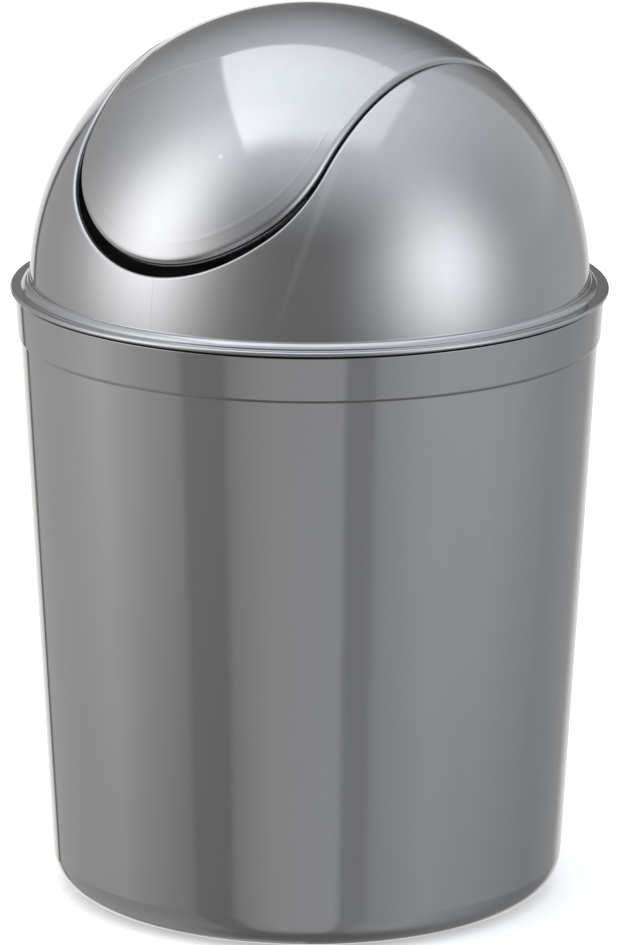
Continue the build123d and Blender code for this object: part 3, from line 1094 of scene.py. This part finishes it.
# %% Room helpers
def ring(stops):
    """Colour by azimuth: stops of (azimuth, level, warmth)."""
    ramp = node(sky, "ShaderNodeValToRGB", {"Fac": place})
    while len(ramp.color_ramp.elements) < len(stops):
        ramp.color_ramp.elements.new(0.5)
    for element, (angle, level, warmth) in zip(ramp.color_ramp.elements, stops):
        element.position = angle / 360 + 0.5
        element.color = (level * (1 + warmth), level, level * (1 - warmth), 1)
    return ramp


def soft_window(where, widths, heights):
    """A soft patch: `widths` and `heights` are its half sizes on its low and its high side."""
    squares = []
    for value, centre, (low, high) in ((azimuth, where[0], widths), (height, where[1], heights)):
        off = minus(value, centre)
        below = math_node("DIVIDE", math_node("MINIMUM", off, 0.0), low)
        above = math_node("DIVIDE", math_node("MAXIMUM", off, 0.0), high)
        squares.append(math_node("POWER", total(below, above), 2.0))
    return math_node("EXPONENT", product(total(*squares), -1.0))


def blend(amount, first, second):
    """A mix of two colours."""
    inputs = {0: amount, 6: first, 7: second}
    return node(sky, "ShaderNodeMix", inputs, data_type="RGBA").outputs[2]


def brighten(colour, amount, tint):
    """Adds a tinted light to a colour."""
    return vector_node("ADD", colour, scaled(tint, amount))


# %% [markdown]
# The walls are two rings of grey, one above the other, that turn slowly into a paler ceiling.
# A wide soft window shines in from each side.

# %% Walls, ceiling and side windows
WALLS_LEFT = [           # each stop is (azimuth, level, warmth)
    (-180, 0.24, 0), (-165, 0.33, 0), (-150, 0.52, 0), (-120, 0.60, 0), (-60, 0.42, 0),
    (-12, 0.28, 0), (8, 0.26, 0), (30, 0.35, -0.02),
]
WALLS_END = [(159, 0.22, 0), (166, 0.16, 0), (180, 0.24, 0)]
LOWER_RIGHT = [(90, 0.61, -0.045), (120, 0.67, -0.04), (142, 0.60, -0.01), (153, 0.50, 0)]
UPPER_RIGHT = [
    (90, 0.63, -0.045), (125, 0.74, -0.03), (143.5, 0.74, -0.01), (145.5, 0.47, 0),
    (153, 0.43, 0),
]
UPPER_EDGE = (2.0, 9.0)
CEILING = (1.32, 1.38, 1.47, 1)
CEILING_EDGE = (17.0, 77.0)
CEILING_TILT = 7.0
SIDE_WINDOWS = [         # (place, half widths, half heights, strength, tint)
    ((-72, 22), (30, 25), (42, 32), 2.1, (1, 1, 1)),
    ((58, 12), (26, 24), (30, 26), 1.7, (0.99, 1, 1.03)),
]

lower_walls = ring(WALLS_LEFT + LOWER_RIGHT + WALLS_END)
upper_walls = ring(WALLS_LEFT + UPPER_RIGHT + WALLS_END)
walls = blend(slope(height, *UPPER_EDGE), lower_walls, upper_walls)
tilted = minus(height, product(backwards, CEILING_TILT))
lit = blend(slope(tilted, *CEILING_EDGE), walls, CEILING)
for where, widths, heights, strength, tint in SIDE_WINDOWS:
    lit = brighten(lit, product(soft_window(where, widths, heights), strength), tint)

# %% [markdown]
# The highlight on top of the flap is a skylight. Each of its sides is a line on the ceiling,
# and a place is inside where it lies on the right side of all four.

# %% Skylight
SKYLIGHT_SIDES = [       # (share of sideways, share of nearer, dark at, lit at)
    (-0.33, 1.0, -0.73, -0.70),
    (1.0, 0.0, -0.49, -0.455),
    (-1.0, -0.15, -0.54, -0.48),
    (0.0, -1.0, -0.44, -0.20),
]
SKYLIGHT_FOOT = (20.0, 30.0)
SKYLIGHT_FADE = (-0.5, 0.45)
SKYLIGHT_FADED = -0.55
SKYLIGHT = (0.86, 0.88, 0.90)

sideways = math_node("DIVIDE", parts["X"], parts["Z"])
nearer = math_node("DIVIDE", backwards, parts["Z"])
inside = slope(height, *SKYLIGHT_FOOT)
for share_x, share_y, dark, bright in SKYLIGHT_SIDES:
    along = total(product(sideways, share_x), product(nearer, share_y))
    inside = product(inside, slope(along, dark, bright))
fade = product(slope(sideways, *SKYLIGHT_FADE), SKYLIGHT_FADED)
lit = brighten(lit, product(inside, total(fade, 1.0)), SKYLIGHT)

# %% [markdown]
# The bucket's wall leans in, so it shows the low half of the room: a ring of grey and dark
# panels, a second ring nearer the floor, and the white sweep behind the can, with the dark
# line of its edge.

# %% Panels and sweep
LOW_PANELS = [
    (-158, 0.50, 0.02), (-140, 0.58, 0.02), (-120, 0.66, 0.02), (-110, 0.74, 0.02),
    (-92, 0.93, 0.01), (-62, 0.64, 0), (-54, 0.58, 0), (-51, 0.38, 0), (-35, 0.345, 0),
    (-32, 0.46, 0), (-15, 0.57, 0), (13, 0.57, -0.01), (16, 0.37, -0.01), (25, 0.39, -0.01),
    (29, 0.61, -0.01), (52, 0.80, -0.035), (78, 0.79, -0.035), (118, 0.50, -0.02),
    (158, 0.44, 0),
]
FOOT_PANELS = [
    (-158, 0.48, 0.02), (-125, 0.51, 0.02), (-90, 0.48, 0.01), (-62, 0.39, 0), (-54, 0.35, 0),
    (-51, 0.27, 0), (-35, 0.27, 0), (-31, 0.42, 0), (-15, 0.56, 0), (13, 0.60, -0.01),
    (16, 0.38, -0.01), (25, 0.39, -0.01), (29, 0.48, -0.01), (55, 0.59, -0.035),
    (75, 0.51, -0.035), (118, 0.33, -0.02), (158, 0.29, 0),
]
SWEEP = [
    (-180, 1.06, 0.02), (-162, 0.93, 0.02), (-157, 0.70, 0.02), (158, 0.66, 0.02),
    (163, 0.78, 0.02), (172, 0.84, 0.02), (180, 1.02, 0.02),
]
SWEEP_SIDES = [(-157.8, 1, 0), (-156.2, 0, 0), (151.0, 0, 0), (158.0, 1, 0)]
SWEEP_LINE = [(-157.0, 0, 0), (-156.2, 1, 0), (-153.8, 1, 0), (-152.6, 0, 0)]
LINE_COLOUR = (0.13, 0.125, 0.12, 1)
FLOOR_COLOUR = (0.215, 0.21, 0.205, 1)
PANEL_TOP, PANEL_FOOT = (-13.9, -13.5), (-16.0, -26.0)
SWEEP_TOP, SWEEP_FOOT, SWEEP_TILT = (3.3, 0.7), (-45.0, -35.0), 16.0
LINE_TOP = (8.0, 2.0)
FLOOR_EDGE = (-52.0, -80.0)

low, foot = ring(LOW_PANELS), ring(FOOT_PANELS)
panels = blend(slope(height, *PANEL_FOOT), low, foot)
seen = blend(slope(height, *PANEL_TOP), panels, lit)
line = product(ring(SWEEP_LINE), slope(height, *LINE_TOP))
seen = blend(line, seen, LINE_COLOUR)
leaning = total(height, product(parts["X"], SWEEP_TILT))
upright = product(slope(leaning, *SWEEP_TOP), slope(height, *SWEEP_FOOT))
swept = product(ring(SWEEP_SIDES), upright)
seen = blend(swept, seen, ring(SWEEP))
seen = blend(slope(height, *FLOOR_EDGE), seen, FLOOR_COLOUR)
print("room nodes", len(sky.nodes))

# %% [markdown]
# The camera itself sees plain white. A Light Path node keeps the room for the reflections.

# %% Background
def camera_ray(tree):
    """1 where the camera looks straight at the surface, 0 for light and reflections."""
    return node(tree, "ShaderNodeLightPath").outputs["Is Camera Ray"]


room = node(sky, "ShaderNodeBackground", {"Color": seen})
white = node(sky, "ShaderNodeBackground", {"Color": (1, 1, 1, 1)})
mix = node(sky, "ShaderNodeMixShader", {0: camera_ray(sky), 1: room, 2: white})
node(sky, "ShaderNodeOutputWorld", {"Surface": mix})

# %% [markdown]
# ## Floor
# The can stands on a white sheet that catches its faint shadow. The sheet glows a little for
# the camera, to meet the white behind it, and the plastic doesn't reflect it.

# %% Floor
FLOOR_SIZE = 3.0
FLOOR_GLOW = 0.35

floor_mesh = bpy.data.meshes.new("floor")
corners = [(x * FLOOR_SIZE, y * FLOOR_SIZE, 0) for x, y in ((-1, -1), (1, -1), (1, 1), (-1, 1))]
floor_mesh.from_pydata(corners, [], [(0, 1, 2, 3)])
floor = add_object("floor", floor_mesh)
floor_material = bpy.data.materials.new("floor_white")
sheet = empty_tree(floor_material)
matt = node(sheet, "ShaderNodeBsdfDiffuse", {"Color": (0.85, 0.85, 0.85, 1)})
strength = product(camera_ray(sheet), FLOOR_GLOW)
glow = node(sheet, "ShaderNodeEmission", {"Strength": strength})
both = node(sheet, "ShaderNodeAddShader", {0: matt, 1: glow})
node(sheet, "ShaderNodeOutputMaterial", {"Surface": both})
floor_mesh.materials.append(floor_material)
floor.visible_glossy = False
print("floor", 2 * FLOOR_SIZE, "m across")

bpy.context.scene.view_settings.view_transform = "Standard"
